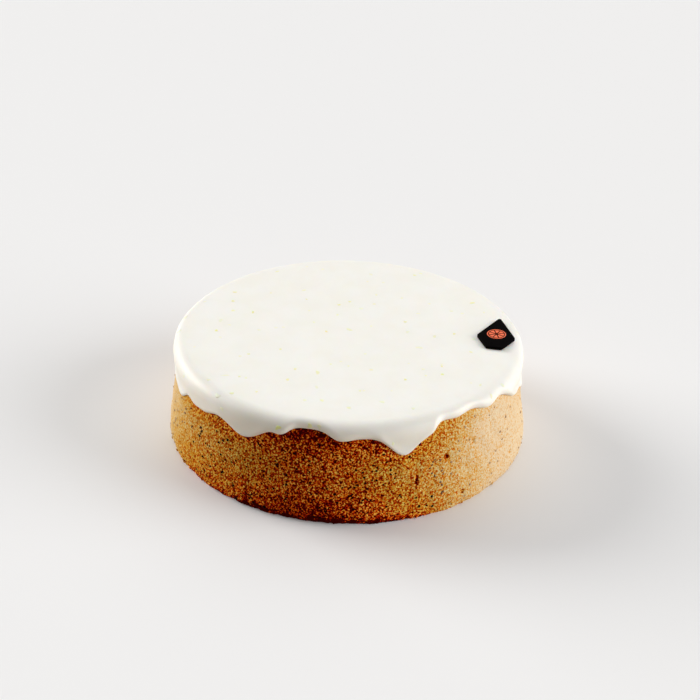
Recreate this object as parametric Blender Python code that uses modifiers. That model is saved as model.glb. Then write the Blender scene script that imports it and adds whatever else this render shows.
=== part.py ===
"""Lemon poppy seed cake: a round sponge under a poured white icing that runs down the side in
uneven drips, with a small dark plaque lying on the icing near the rim.

Metres, +Z up. The origin is the middle of the flat base, and the front looks along -Y.
Angles round the cake count from the front, and grow towards +X.
"""

import math
import random
from collections import namedtuple

import bmesh
import bpy
from mathutils import Matrix, Vector, noise

MM = 0.001

# The sponge: a baked cone that narrows upwards, with a tucked foot and a rounded top edge.
SPONGE_HEIGHT = 48.2 * MM
SPONGE_RADIUS = 89.0 * MM
SPONGE_TAPER = 0.14
SHOULDER_RADIUS = 5.0 * MM
FOOT_HEIGHT = 6.5 * MM
FOOT_TUCK = 1.5 * MM
STEPS_ROUND = 120
SHOULDER_RINGS = 4
FOOT_RINGS = 2
SIDE_RING_GAP = 4.6 * MM

# How uneven the baked side is: broad swells that the icing follows, and crumb relief below it.
SWELL_DEPTH = 0.45 * MM
SWELL_LENGTH = 34.0 * MM
CRUMB_DEPTH = 0.40 * MM
CRUMB_LENGTH = 6.5 * MM
CRUMB_FADE = 3.0 * MM

# The poppy seeds that stand out of the side. The spread steps are powers of the inverse of the
# plastic number, which space any count of points evenly in two directions.
SEED_COUNT = 150
SEED_SPREAD_ROUND = 0.7548776662
SEED_SPREAD_UP = 0.5698402910
SEED_FLOOR = 2.6 * MM
SEED_RADIUS = 0.56 * MM
SEED_LENGTH_RATIO = 1.25
SEED_SUNK = 0.12 * MM
SEED_CLEARANCE = 1.4 * MM
SEED_JITTER = 1.2 * MM
SEED_SIZE_SPREAD = 0.15
SEED_RANDOM = 11

# The icing, measured along the sponge's own surface and square to it. The rim's reach counts
# from the middle of the sponge's rounded top edge.
GAP = 0.3 * MM
ICING_TOP = 3.6 * MM
ICING_SIDE = 1.0 * MM
RIM_REACH = 8.3 * MM
RIM_SQUARENESS = 2.4
RIM_DROOP = 0.5 * MM
DROOP_FROM = -5.0 * MM
DROOP_TO = 3.0 * MM
THIN_FROM = 5.5 * MM
THIN_TO = 15.0 * MM
BEAD_HEIGHT = 0.30 * MM
BEAD_WIDTH = 2.4 * MM
BEAD_FROM = 4.0 * MM
BEAD_FULL = 10.0 * MM
EDGE_ROUNDING = 1.5 * MM
EDGE_ROUNDNESS = 0.85
RIPPLE_DEPTH = 0.12 * MM
RIPPLE_LENGTH = 26.0 * MM

# The icing's rings: shares of the flat top's radius, counts round the rim, and shares of the
# stretch that hangs below the rim. At short drips the rim takes RIM_SHARE of the run.
TOP_RINGS = (0.50, 0.93)
RIM_RINGS = 6
RIM_SHARE = 0.75
TONGUE_RINGS = (0.35, 0.65, 0.85, 0.96, 1.0)
LINING_RIM_RINGS = 4
LINING_TONGUE_RINGS = 2

# Each drip is a bell-shaped tongue: its middle, how far it runs below the shortest edge, and its
# half width. The edge never runs less than SHORTEST_RUN past the start of the rounded top edge.
Drip = namedtuple("Drip", "angle run half_width")
SHORTEST_RUN = 3.7 * MM
DRIPS = (
    Drip(-79, 13.2 * MM, 18.0),
    Drip(-68, 4.8 * MM, 5.5),
    Drip(-58.5, 2.6 * MM, 3.5),
    Drip(-52, 8.1 * MM, 7.7),
    Drip(-34, 11.4 * MM, 9.7),
    Drip(-20.5, 3.0 * MM, 3.0),
    Drip(-2, 3.5 * MM, 4.4),
    Drip(5, 2.5 * MM, 6.0),
    Drip(18.4, 13.0 * MM, 6.9),
    Drip(27.0, 2.2 * MM, 3.1),
    Drip(37.5, 1.2 * MM, 4.5),
    Drip(51.5, 3.0 * MM, 5.2),
    Drip(72, 11.0 * MM, 10.0),
    Drip(86, 16.0 * MM, 7.5),
    Drip(102, 6.0 * MM, 6.5),
    Drip(117, 12.5 * MM, 8.5),
    Drip(131, 4.5 * MM, 5.0),
    Drip(148, 9.0 * MM, 9.0),
    Drip(166, 14.0 * MM, 6.5),
    Drip(180, 4.5 * MM, 7.0),
    Drip(199, 11.0 * MM, 8.0),
    Drip(214, 3.5 * MM, 5.5),
    Drip(231, 13.5 * MM, 7.5),
    Drip(247, 6.5 * MM, 7.0),
)

# The plaque: a five-sided outline with a pointed end, symmetric about its length.
PLAQUE_PLACE = (72.4 * MM, -1.2 * MM)
PLAQUE_TURN = -9.3
PLAQUE_POINT = 19.6 * MM
PLAQUE_HALF_WIDTH = 9.4 * MM
PLAQUE_FOOT = 10.9 * MM
PLAQUE_FOOT_HALF_WIDTH = 3.9 * MM
PLAQUE_THICKNESS = 1.1 * MM
PLAQUE_CORNER = 1.0 * MM
CORNER_POINTS = 4


def clear_scene():
    for thing in list(bpy.data.objects):
        bpy.data.objects.remove(thing, do_unlink=True)


def material(name, colour, roughness):
    made = bpy.data.materials.new(name)
    made.use_nodes = True
    shader = made.node_tree.nodes["Principled BSDF"]
    shader.inputs["Base Color"].default_value = (*colour, 1.0)
    shader.inputs["Roughness"].default_value = roughness
    shader.inputs["Metallic"].default_value = 0.0
    return made


def add_object(name, mesh, collection, finish=None):
    made = bpy.data.objects.new(name, mesh)
    collection.objects.link(made)
    if finish:
        mesh.materials.append(finish)
    return made


def as_mesh_object(source, name, finish):
    """A plain mesh object with the shape that the source shows, which it takes the place of."""
    bpy.context.view_layer.update()
    evaluated = source.evaluated_get(bpy.context.evaluated_depsgraph_get())
    mesh = bpy.data.meshes.new_from_object(evaluated)
    mesh.materials.clear()
    place = source.matrix_world.copy()
    collection = source.users_collection[0]
    bpy.data.objects.remove(source, do_unlink=True)
    made = add_object(name, mesh, collection, finish)
    made.matrix_world = place
    return made


def smooth_step(value, low, high):
    share = min(1.0, max(0.0, (value - low) / (high - low)))
    return share * share * (3.0 - 2.0 * share)


def swell(angle, height):
    """The broad unevenness of the baked side, which grows in over the rounded top edge."""
    spot = Vector((math.sin(angle), -math.cos(angle), 0.0)) * SPONGE_RADIUS
    spot.z = height
    depth = SWELL_DEPTH * smooth_step(SPONGE_HEIGHT - height, 0.0, SHOULDER_RADIUS)
    return depth * noise.noise(spot / SWELL_LENGTH)


# The sponge's meridian, from the top's centre outwards: a flat, an arc, then a straight side.
SIDE_LEAN = math.atan(SPONGE_TAPER)
ARC_HEIGHT = SPONGE_HEIGHT - SHOULDER_RADIUS
ARC_END_HEIGHT = ARC_HEIGHT + SHOULDER_RADIUS * math.sin(SIDE_LEAN)
ARC_END_RADIUS = SPONGE_RADIUS - SPONGE_TAPER * (ARC_END_HEIGHT - FOOT_HEIGHT)
FLAT_RADIUS = ARC_END_RADIUS - SHOULDER_RADIUS * math.cos(SIDE_LEAN)
ARC_TURN = math.pi / 2.0 - SIDE_LEAN
ARC_LENGTH = SHOULDER_RADIUS * ARC_TURN


def meridian(run, lift):
    """Radius and height at a run past the flat top, raised by a lift square to the surface."""
    if run <= 0.0:
        return FLAT_RADIUS + run, SPONGE_HEIGHT + lift
    if run <= ARC_LENGTH:
        rise = math.pi / 2.0 - run / SHOULDER_RADIUS
        reach = SHOULDER_RADIUS + lift
        return FLAT_RADIUS + reach * math.cos(rise), ARC_HEIGHT + reach * math.sin(rise)
    down = run - ARC_LENGTH
    radius = ARC_END_RADIUS + down * math.sin(SIDE_LEAN) + lift * math.cos(SIDE_LEAN)
    height = ARC_END_HEIGHT - down * math.cos(SIDE_LEAN) + lift * math.sin(SIDE_LEAN)
    return radius, height


def surface_point(angle, run, lift):
    """A point over the uneven sponge, at a run past the flat top and a lift off the surface."""
    _, height = meridian(run, 0.0)
    radius, height = meridian(run, lift + swell(angle, height))
    return Vector((radius * math.sin(angle), -radius * math.cos(angle), height))


def icing_run(angle):
    """How far the icing's edge runs down past the flat top, at an angle round the cake."""
    run = SHORTEST_RUN
    for drip in DRIPS:
        away = (math.degrees(angle) - drip.angle + 180.0) % 360.0 - 180.0
        run += drip.run * math.exp(-((away / drip.half_width) ** 2))
    return run


def lowest_edge_nearby(angle):
    """The height of the icing's lowest edge within a step of an angle round the cake."""
    step = 2.0 * math.pi / STEPS_ROUND
    nearby = (angle + step * share for share in (-1.0, -0.5, 0.0, 0.5, 1.0))
    return min(surface_point(near, icing_run(near), 0.0).z for near in nearby)


def sponge_profile():
    """Half outline of the sponge, from the top's centre down the side to the base's centre."""
    points = [(0.0, SPONGE_HEIGHT)]
    for step in range(SHOULDER_RINGS + 1):
        points.append(meridian(ARC_LENGTH * step / SHOULDER_RINGS, 0.0))
    side_run = (ARC_END_HEIGHT - FOOT_HEIGHT) / math.cos(SIDE_LEAN)
    side_rings = round(side_run / SIDE_RING_GAP)
    for step in range(1, side_rings + 1):
        points.append(meridian(ARC_LENGTH + side_run * step / side_rings, 0.0))
    for step in range(1, FOOT_RINGS + 1):
        tuck = math.pi / 2.0 * step / FOOT_RINGS
        radius = SPONGE_RADIUS - FOOT_TUCK * (1.0 - math.cos(tuck))
        points.append((radius, FOOT_HEIGHT * (1.0 - math.sin(tuck))))
    points.append((0.0, 0.0))
    return points


def turn_profile(name, profile, steps, collection, finish):
    """A solid turned from its half outline, which stands in the XZ plane on the +X side."""
    mesh = bpy.data.meshes.new(name)
    points = [(radius, 0.0, height) for radius, height in profile]
    edges = [(index, index + 1) for index in range(len(points) - 1)]
    mesh.from_pydata(points, edges, [])
    outline = add_object(name + "_outline", mesh, collection)
    screw = outline.modifiers.new("turn", "SCREW")
    screw.axis = "Z"
    screw.steps = steps
    screw.render_steps = steps
    screw.use_merge_vertices = True
    screw.merge_threshold = 0.01 * MM
    return as_mesh_object(outline, name, finish)


def roughen_side(sponge):
    """Gives the turned sponge its swells, and crumb relief wherever the icing leaves it bare."""
    for vertex in sponge.data.vertices:
        spot = vertex.co.copy()
        angle = math.atan2(spot.x, -spot.y)
        reach = spot.xy.length
        if reach < FLAT_RADIUS / 2.0:
            continue
        bare = smooth_step(lowest_edge_nearby(angle) - spot.z, 0.0, CRUMB_FADE)
        crumb = CRUMB_DEPTH * bare * noise.noise(spot / CRUMB_LENGTH)
        vertex.co.xy = spot.xy * (1.0 + (swell(angle, spot.z) + crumb) / reach)


def seed_places():
    """Spots spread evenly over the bare side by a two-way golden sequence, then jittered."""
    draw = random.Random(SEED_RANDOM)
    places = []
    index = 0
    while len(places) < SEED_COUNT:
        index += 1
        angle = 2.0 * math.pi * (index * SEED_SPREAD_ROUND % 1.0)
        height = SPONGE_HEIGHT * (index * SEED_SPREAD_UP % 1.0)
        angle += draw.uniform(-SEED_JITTER, SEED_JITTER) / SPONGE_RADIUS
        height += draw.uniform(-SEED_JITTER, SEED_JITTER)
        ceiling = lowest_edge_nearby(angle) - SEED_CLEARANCE
        spin = draw.uniform(0.0, math.pi)
        size = draw.uniform(1.0 - SEED_SIZE_SPREAD, 1.0 + SEED_SIZE_SPREAD)
        if SEED_FLOOR < height < ceiling:
            places.append((angle, height, spin, size))
    return places


def add_seeds(sponge):
    """Half-sunk poppy seeds, joined to the sponge as one solid."""
    mesh = bpy.data.meshes.new("seed")
    shape = bmesh.new()
    bmesh.ops.create_icosphere(shape, subdivisions=1, radius=SEED_RADIUS)
    bmesh.ops.scale(shape, vec=(SEED_LENGTH_RATIO, 1.0, 1.0), verts=shape.verts)
    shape.to_mesh(mesh)
    shape.free()
    seeds = bpy.data.collections.new("seeds")
    bpy.context.scene.collection.children.link(seeds)
    for number, (angle, height, spin, size) in enumerate(seed_places()):
        inward = Vector((-math.sin(angle), math.cos(angle), 0.0))
        outside = Vector((0.0, 0.0, height)) - inward * SPONGE_RADIUS * 2.0
        _, spot, _, _ = sponge.ray_cast(outside, inward)
        seed = add_object(f"seed_{number:03d}", mesh, seeds)
        facing = inward.to_track_quat("Z", "Y").to_matrix().to_4x4()
        turned = facing @ Matrix.Rotation(spin, 4, "Z") @ Matrix.Scale(size, 4)
        seed.matrix_world = Matrix.Translation(spot + inward * SEED_SUNK) @ turned
    join = sponge.modifiers.new("seeds", "BOOLEAN")
    join.operation = "UNION"
    join.operand_type = "COLLECTION"
    join.collection = seeds
    join.solver = "EXACT"
    joined = as_mesh_object(sponge, sponge.name, sponge.data.materials[0])
    for seed in list(seeds.objects):
        bpy.data.objects.remove(seed, do_unlink=True)
    bpy.data.collections.remove(seeds)
    return joined


def icing_thickness(run, edge_run):
    """The icing's thickness: a full rim that turns as a squared oval, then thin to a round edge."""
    thickness = ICING_TOP
    if run > 0.0:
        turn = min(run, ARC_LENGTH) / SHOULDER_RADIUS
        across = (math.sin(turn) / RIM_REACH) ** RIM_SQUARENESS
        up = (math.cos(turn) / (SHOULDER_RADIUS + GAP + ICING_TOP)) ** RIM_SQUARENESS
        thickness = (across + up) ** (-1.0 / RIM_SQUARENESS) - SHOULDER_RADIUS - GAP
        thickness += (ICING_SIDE - thickness) * smooth_step(run, THIN_FROM, THIN_TO)
    thickness -= RIM_DROOP * smooth_step(run, DROOP_FROM, DROOP_TO)
    bead = BEAD_HEIGHT * smooth_step(edge_run, BEAD_FROM, BEAD_FULL)
    thickness += bead * math.exp(-(((edge_run - EDGE_ROUNDING - run) / BEAD_WIDTH) ** 2))
    rounding = max(EDGE_ROUNDING, EDGE_ROUNDNESS * thickness)
    past = (run - (edge_run - rounding)) / rounding
    if past > 0.0:
        thickness *= math.sqrt(max(0.0, 1.0 - past * past))
    return thickness


def icing_outside(angle, run, edge_run):
    thickness = icing_thickness(run, edge_run)
    point = surface_point(angle, run, GAP + thickness)
    ripple = RIPPLE_DEPTH * noise.noise(point / RIPPLE_LENGTH) * min(1.0, thickness / ICING_SIDE)
    point.z += ripple
    return point


def icing_section(angle):
    """Points from the flat top, round the rim, down a drip to its edge and back up inside."""
    edge_run = icing_run(angle)
    rim_run = min(ARC_LENGTH, RIM_SHARE * edge_run)
    outside = [FLAT_RADIUS * (share - 1.0) for share in TOP_RINGS]
    for ring in range(RIM_RINGS + 1):
        outside.append(rim_run * ring / RIM_RINGS)
    outside += [rim_run + (edge_run - rim_run) * share for share in TONGUE_RINGS]
    lining = [rim_run * ring / LINING_RIM_RINGS for ring in range(LINING_RIM_RINGS + 1)]
    for ring in range(1, LINING_TONGUE_RINGS + 1):
        lining.append(rim_run + (edge_run - rim_run) * ring / LINING_TONGUE_RINGS)
    points = [icing_outside(angle, run, edge_run) for run in outside]
    points += [surface_point(angle, run, GAP) for run in reversed(lining[:-1])]
    return points


def make_icing(collection, finish):
    """Joins the sections round the cake, which all differ, into one closed skin."""
    shape = bmesh.new()
    ring_points = []
    for step in range(STEPS_ROUND):
        section = icing_section(2.0 * math.pi * step / STEPS_ROUND)
        ring_points.append([shape.verts.new(point) for point in section])
    crown = shape.verts.new((0.0, 0.0, SPONGE_HEIGHT + GAP + ICING_TOP))
    lining = shape.verts.new((0.0, 0.0, SPONGE_HEIGHT + GAP))
    for step, here in enumerate(ring_points):
        after = ring_points[(step + 1) % STEPS_ROUND]
        shape.faces.new((crown, here[0], after[0]))
        shape.faces.new((lining, after[-1], here[-1]))
        for low in range(len(here) - 1):
            shape.faces.new((here[low], here[low + 1], after[low + 1], after[low]))
    bmesh.ops.recalc_face_normals(shape, faces=shape.faces)
    mesh = bpy.data.meshes.new("icing")
    shape.to_mesh(mesh)
    shape.free()
    return add_object("icing", mesh, collection, finish)


def round_corners(corners, radius, points_each):
    """The outline through the corners, each one cut back and rounded by a smooth arc."""
    outline = []
    for index, corner in enumerate(corners):
        before = (corners[index - 1] - corner).normalized()
        after = (corners[(index + 1) % len(corners)] - corner).normalized()
        half_angle = before.angle(after) / 2.0
        centre = corner + (before + after).normalized() * (radius / math.sin(half_angle))
        start = corner + before * (radius / math.tan(half_angle)) - centre
        sweep = before.cross(after).z
        turn = math.copysign(math.pi - 2.0 * half_angle, -sweep)
        for step in range(points_each + 1):
            spun = Matrix.Rotation(turn * step / points_each, 3, "Z") @ start
            outline.append(centre + spun)
    return outline


def make_plaque(collection, finish):
    corners = [
        Vector((0.0, PLAQUE_POINT, 0.0)),
        Vector((-PLAQUE_HALF_WIDTH, 0.0, 0.0)),
        Vector((-PLAQUE_FOOT_HALF_WIDTH, -PLAQUE_FOOT, 0.0)),
        Vector((PLAQUE_FOOT_HALF_WIDTH, -PLAQUE_FOOT, 0.0)),
        Vector((PLAQUE_HALF_WIDTH, 0.0, 0.0)),
    ]
    outline = round_corners(corners, PLAQUE_CORNER, CORNER_POINTS)
    curve = bpy.data.curves.new("plaque", "CURVE")
    curve.dimensions = "2D"
    curve.fill_mode = "BOTH"
    curve.extrude = PLAQUE_THICKNESS / 2.0
    spline = curve.splines.new("POLY")
    spline.points.add(len(outline) - 1)
    spline.use_cyclic_u = True
    for point, place in zip(spline.points, outline):
        point.co = (place.x, place.y, 0.0, 1.0)
    flat = bpy.data.objects.new("plaque_outline", curve)
    collection.objects.link(flat)
    icing_level = SPONGE_HEIGHT + GAP + ICING_TOP + RIPPLE_DEPTH
    flat.location = (*PLAQUE_PLACE, icing_level + GAP + PLAQUE_THICKNESS / 2.0)
    flat.rotation_euler.z = math.radians(PLAQUE_TURN)
    plaque = as_mesh_object(flat, "plaque", finish)
    shape = bmesh.new()
    shape.from_mesh(plaque.data)
    bmesh.ops.remove_doubles(shape, verts=shape.verts, dist=0.01 * MM)
    bmesh.ops.recalc_face_normals(shape, faces=shape.faces)
    shape.to_mesh(plaque.data)
    shape.free()
    return plaque


def main():
    clear_scene()
    cake = bpy.data.collections.new("lemon_poppy_seed_cake")
    bpy.context.scene.collection.children.link(cake)
    crumb = material("crumb", (0.52, 0.30, 0.13), 0.9)
    glaze = material("glaze", (0.88, 0.87, 0.82), 0.3)
    dark = material("dark_chocolate", (0.012, 0.010, 0.010), 0.35)
    sponge = turn_profile("sponge", sponge_profile(), STEPS_ROUND, cake, crumb)
    roughen_side(sponge)
    sponge = add_seeds(sponge)
    icing = make_icing(cake, glaze)
    plaque = make_plaque(cake, dark)
    for piece in (sponge, icing, plaque):
        piece.data.shade_smooth()
        piece.data.set_sharp_from_angle(angle=math.radians(40.0))


main()
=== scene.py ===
"""The looks of the lemon poppy seed cake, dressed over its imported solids.

Metres, +Z up, in the solids' own frame. The origin is the middle of the flat base, the front
looks along -Y, and angles round the cake count from the front and grow towards +X.
"""

import math
import random
from collections import namedtuple

import bmesh
import bpy
import numpy as np
from mathutils import Matrix, Vector, noise

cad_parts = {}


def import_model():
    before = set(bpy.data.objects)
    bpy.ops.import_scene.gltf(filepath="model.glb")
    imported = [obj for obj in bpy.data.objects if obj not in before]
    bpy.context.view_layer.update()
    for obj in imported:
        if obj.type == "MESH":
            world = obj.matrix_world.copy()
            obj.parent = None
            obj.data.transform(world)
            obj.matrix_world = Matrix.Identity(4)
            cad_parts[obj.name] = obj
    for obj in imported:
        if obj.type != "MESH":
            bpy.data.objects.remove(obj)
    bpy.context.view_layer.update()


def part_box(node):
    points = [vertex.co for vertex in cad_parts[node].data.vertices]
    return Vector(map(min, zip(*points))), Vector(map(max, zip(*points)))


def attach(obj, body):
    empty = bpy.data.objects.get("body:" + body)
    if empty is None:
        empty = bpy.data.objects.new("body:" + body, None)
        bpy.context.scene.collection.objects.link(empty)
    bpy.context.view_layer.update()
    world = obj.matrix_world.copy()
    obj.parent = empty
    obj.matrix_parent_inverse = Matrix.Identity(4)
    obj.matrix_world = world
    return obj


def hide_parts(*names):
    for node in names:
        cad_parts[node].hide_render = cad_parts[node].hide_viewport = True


MM = 0.001
TURN = 2.0 * math.pi
QUARTER = math.pi / 2.0

# The sponge's driving sizes, as in its solid.
SPONGE_HEIGHT = 48.2 * MM
SPONGE_RADIUS = 89.0 * MM
SPONGE_TAPER = 0.14
SHOULDER_RADIUS = 5.0 * MM
FOOT_HEIGHT = 6.5 * MM
FOOT_TUCK = 1.5 * MM
SOLID_STEPS_ROUND = 120
SWELL_DEPTH = 0.45 * MM
SWELL_LENGTH = 34.0 * MM

# The grid of the sponge's fine skin.
SPONGE_COLUMNS = 1080
SPONGE_SIDE_ROWS = 75
SPONGE_FOOT_ROWS = 13
SPONGE_FIRST_RUN = 0.4 * MM
UNDER_ICING = 2.5 * MM
RELIEF_FROM = 0.5 * MM
# Where the icing's lowest edge is looked for, in steps of the solid's faces.
EDGE_STEPS = (-1.0, -0.5, 0.0, 0.5, 1.0)

# The relief of the sponge's side: coarse crumb, as in its solid, fine grain, and a ragged foot.
# The shift of a noise sets it apart from the others.
Noise = namedtuple("Noise", "length shift")
CRUMB_DEPTH = 0.40 * MM
CRUMB_NOISE = Noise(6.5 * MM, 0.0)
CRUMB_FADE = 3.0 * MM
GRAIN_DEPTH = 0.64 * MM
GRAIN_NOISE = Noise(1.15 * MM, 3.7)
FINE_GRAIN_NOISE = Noise(1.15 * MM / 2.1, 8.1)
FINE_GRAIN_SHARE = 0.4
GRAIN_UNDER_ICING = 0.35
GRAIN_HOLLOW = 0.7
RAGGED_DEPTH = 0.55 * MM
RAGGED_NOISE = Noise(4.2 * MM, 5.3)
RAGGED_HEIGHT = 4.0 * MM
# How much of the fine relief is left in the palest crust, and the browning at which it is full.
PALE_RELIEF = 0.45
FULL_RELIEF_AT = 0.6
# The side of the sponge where its grain is finest, and how much of the grain is left there.
FINE_ANGLE = -80.0
FINE_HALF_WIDTH = 24.0
FINE_LEAST = 0.48

# The pores, one in some cells of a loose foam. Their sizes are shares of a cell.
PORE_DEPTH = 0.50 * MM
PORE_LENGTH = 2.0 * MM
PORE_SHARE = 0.45
PORE_LEAST_SIZE = 0.18
PORE_SIZE_SPREAD = 0.16
PORE_FLOOR = 0.4
PORE_CHANCE_SCALE = 7.0

# The few large pits: those that the front shows, and the ranges of the others' height, width,
# tallness and depth in millimetres.
# A pit's last number is the painted shade inside it.
Pit = namedtuple("Pit", "angle height width tall depth browning")
SHOWN_PITS = (
    Pit(33.0, 28.3 * MM, 1.3 * MM, 1.2 * MM, 1.2 * MM, 0.75),
    Pit(22.3, 20.4 * MM, 0.50 * MM, 2.2 * MM, 0.9 * MM, 1.70),
    Pit(38.8, 7.2 * MM, 0.7 * MM, 1.0 * MM, 0.9 * MM, 0.45),
)
RANDOM_PIT_SIZES = ((3.0, 40.0), (0.5, 1.1), (0.5, 1.3), (0.4, 0.8))
RANDOM_PIT_SHADE = 0.12
PIT_COUNT = 16
PIT_RANDOM = 5
PIT_FULL_DEPTH = 0.45 * MM
PIT_STEEPNESS = 1.5

# How finely the seeds, crumbs and flecks are made.
GRAIN_SUBDIVISIONS = 2

# The poppy seeds. The first ones lie where the solid has them.
SOLID_SEED_COUNT = 150
SEED_SPREAD_ROUND = 0.7548776662
SEED_SPREAD_UP = 0.5698402910
SEED_FLOOR = 2.6 * MM
SEED_RADIUS = 0.56 * MM
SEED_LENGTH_RATIO = 1.25
SEED_HEIGHT_RATIO = 0.9
SEED_BEND = 0.18
SEED_LUMPS = 0.12
SEED_SUNK = 0.12 * MM
SEED_CLEARANCE = 1.4 * MM
SEED_JITTER = 1.2 * MM
SEED_SIZE_SPREAD = 0.15
SEED_RANDOM = 11
# A dusting of crumb greys the seeds on pale crust, and is lost as the crust browns.
SEED_DUST = 1.8
SEED_DUST_LOST = 4.2
SEED_DUST_RANGE = (0.8, 1.1)
# Smaller seeds, in groups. Where the crust is browner or carries painted shade, more of them show.
FEWEST_SEEDS = 0.12
SMALL_SEED_GROUPS = 520
SMALL_SEED_GROUP_SIZES = (1, 1, 1, 2, 2, 3)
SMALL_SEED_GROUP_SPREAD = 1.1 * MM
SMALL_SEED_RADIUS = 0.50 * MM
SMALL_SEED_SIZES = (0.8, 1.12)
SMALL_SEED_HEIGHTS = (1.5 * MM, 46.0 * MM)
SMALL_SEED_FLOOR = 1.0 * MM
SMALL_SEED_RANDOM = 23
MOST_PIT_UNDER_SEED = 0.02 * MM

# The crust's colour at each level of browning and painted shade, from barely baked to the shade of
# a dark pore.
CRUST = (
    (-0.20, (0.99, 0.650, 0.450)),
    (0.00, (0.97, 0.575, 0.375)),
    (0.10, (0.95, 0.515, 0.290)),
    (0.20, (0.93, 0.455, 0.200)),
    (0.30, (0.91, 0.395, 0.120)),
    (0.40, (0.90, 0.335, 0.062)),
    (0.52, (0.88, 0.260, 0.024)),
    (0.70, (0.84, 0.165, 0.0100)),
    (0.85, (0.79, 0.100, 0.0060)),
    (1.00, (0.70, 0.052, 0.0035)),
    (1.30, (0.50, 0.0120, 0.0015)),
    (1.50, (0.34, 0.0040, 0.0008)),
    (1.90, (0.05, 0.0008, 0.0005)),
)
BROWNING_LOW = CRUST[0][0]
BROWNING_HIGH = CRUST[-1][0]
# What the colour is multiplied by where the crust as a whole is pale, golden or brown.
TINTS = (
    (0.00, (0.76, 0.98, 0.98)),
    (0.25, (0.70, 0.95, 0.74)),
    (0.50, (0.74, 0.98, 0.38)),
    (0.65, (0.79, 0.99, 0.32)),
    (0.82, (0.94, 1.00, 0.30)),
    (1.00, (1.00, 1.00, 0.28)),
)
PALE_AT = 0.15
GOLDEN_AT = 0.5
BROWN_AT = 0.9

# How brown the crust is as a whole, with painted light and shade in it: spots round the cake
# that are partly uneven browning and partly painted shade on the front, which faces away from
# the lights, with painted light on the pale, lit right side between them; the foot, the waist half
# way up, painted shade on the edge under the icing, near-black patches at the foot, and clouds.
BrowningAndShadeSpot = namedtuple("BrowningAndShadeSpot", "angle browning half_width")
BROWNING_AND_SHADE_SPOTS = (
    BrowningAndShadeSpot(-9.0, 0.91, 22.5),
    BrowningAndShadeSpot(-48.0, 0.48, 31.0),
    BrowningAndShadeSpot(24.0, 0.36, 22.0),
    BrowningAndShadeSpot(150.0, 0.48, 34.0),
    BrowningAndShadeSpot(-150.0, 0.42, 38.0),
)
PALE_BROWNING = -0.08
AWAY_BROWNING = 0.06
FOOT_BROWNING = 0.80
FOOT_BROWNING_HEIGHT = 16.0 * MM
WAIST_BROWNING = -0.22
WAIST_HEIGHT = 25.0 * MM
WAIST_DEPTH = 8.5 * MM
# Painted shade on the crust just under the icing's edge, where the icing overhangs it.
SHADE_UNDER_ICING_LEAST = 0.06
SHADE_UNDER_ICING = 0.50
SHADE_UNDER_ICING_DISTANCE = 4.4 * MM
FAR_BELOW_ICING = 6.5 * MM
# Near-black patches along the foot, darkest at its very bottom.
FOOT_DARK_LEVEL = 1.75
FOOT_DARK_HEIGHT = 3.4 * MM
FOOT_DARK_AT_BASE = 1.7
FOOT_DARK_THRESHOLD = 0.5
FOOT_DARK_PATCHINESS = 1.7
FOOT_DARK_NOISE = Noise(2.8 * MM, 6.1)
FOOT_DARK_FROM = 0.40
FOOT_DARK_FULL = 0.90
CLOUD_BROWNING = 0.06
CLOUD_NOISE = Noise(21.0 * MM, 1.9)
CROWN_BROWNING = 0.5
BASE_BROWNING = 0.8

# How far the fine grain shifts the browning. A range gives a noise's low and high values, and
# what they turn into.
GRANULE_LENGTH = 1.05 * MM
GRANULE_RANGE = (0.30, 0.80, 0.333, -0.50)
NET_LENGTH = 1.3 * MM
NET_RANGE = (0.0, 0.13, 0.43, -0.42)
NOISE_MIDDLE = 0.5
NOISE_ROUGHNESS = 0.55
GRAIN_BROWNING = 1.08
# Painted shade in the side's pores, pits and grain hollows.
HOLLOW_SHADE = 0.38
FINE_PORE_LENGTH = 0.95 * MM
FINE_PORE_RANGE = (0.32, 0.40, 1.0, 0.0)
PORE_SHADE = 0.45
PALE_SPREAD = 0.28
GOLDEN_SPREAD = 0.88
BROWN_SPREAD = 1.64

# The crumbs that cling to the foot.
CRUMB_COUNT = 130
CRUMB_RADIUS = 0.55 * MM
CRUMB_WIDTH_RATIO = 0.85
CRUMB_HEIGHT_RATIO = 0.75
CRUMB_LUMPS = 0.7
CRUMB_LUMP_LENGTH = 0.6
CRUMB_SIZES = (0.5, 1.5)
CRUMB_LOWEST = 0.5 * MM
CRUMB_REACH = 1.6 * MM
CRUMB_CLEARANCE = 0.78 * MM
CRUMB_RANDOM = 31

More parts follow.
